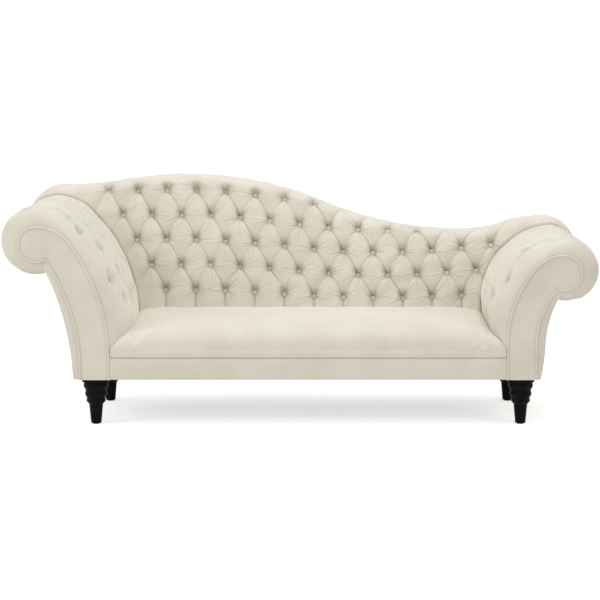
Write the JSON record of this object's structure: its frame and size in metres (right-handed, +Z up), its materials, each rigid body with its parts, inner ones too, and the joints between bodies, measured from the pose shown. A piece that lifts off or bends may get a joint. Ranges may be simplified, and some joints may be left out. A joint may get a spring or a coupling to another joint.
{
  "type": "chaise longue",
  "caption": "Upholstered chaise longue with a diamond-tufted serpentine back, one high and one low scroll arm, a tight crowned seat and turned black legs.",
  "frame": {"origin": "middle of the bounding box at floor level", "axes": "X to the right seen from the front, Y towards the back, Z up; the front faces -Y"},
  "size_m": [2.4, 0.8884, 0.97],
  "materials": {
    "ivory_velvet": "short-pile velvet with a soft sheen",
    "black_lacquer": "turned wood in satin black lacquer",
    "beech": "planed beech and plywood, unfinished",
    "hardboard": "smooth hardboard",
    "foam": "open-cell foam",
    "felt": "needled felt",
    "webbing": "woven elastic webbing",
    "dust_cloth": "black non-woven cloth",
    "steel": "plain steel",
    "glide_nylon": "matte black nylon",
    "clip_plastic": "matte"
  },
  "bodies": {
    "root": {"back_bottom_rail": "beech", "back_buttons": "ivory_velvet", "back_cover": "ivory_velvet", "back_foam": "foam", "back_left_end_board": "beech", "back_right_end_board": "beech", "back_top_rail": "beech", "back_uprights": "beech", "back_webbing": "webbing", "corner_blocks": "beech", "dust_cover": "dust_cloth", "front_border": "ivory_velvet", "front_legs": "black_lacquer", "front_seat_rail": "beech", "left_arm_battens": "beech", "left_arm_buttons": "ivory_velvet", "left_arm_cover": "ivory_velvet", "left_arm_facing": "ivory_velvet", "left_arm_foam": "foam", "left_arm_foot_rail": "beech", "left_arm_front_board": "beech", "left_arm_rear_board": "beech", "left_arm_skin": "hardboard", "left_facing_welt": "ivory_velvet", "left_outside_arm": "ivory_velvet", "left_seat_rail": "beech", "leg_bolts": "steel", "leg_glides": "glide_nylon", "outside_back": "ivory_velvet", "rear_legs": "black_lacquer", "rear_seat_rail": "beech", "right_arm_battens": "beech", "right_arm_buttons": "ivory_velvet", "right_arm_cover": "ivory_velvet", "right_arm_facing": "ivory_velvet", "right_arm_foam": "foam", "right_arm_foot_rail": "beech", "right_arm_front_board": "beech", "right_arm_rear_board": "beech", "right_arm_skin": "hardboard", "right_facing_welt": "ivory_velvet", "right_outside_arm": "ivory_velvet", "right_seat_rail": "beech", "seat_cover": "ivory_velvet", "seat_felt": "felt", "seat_foam": "foam", "seat_seam_cord": "ivory_velvet", "seat_springs": "steel", "seat_stretchers": "beech", "spring_clips": "clip_plastic"}
  },
  "joints": []
}
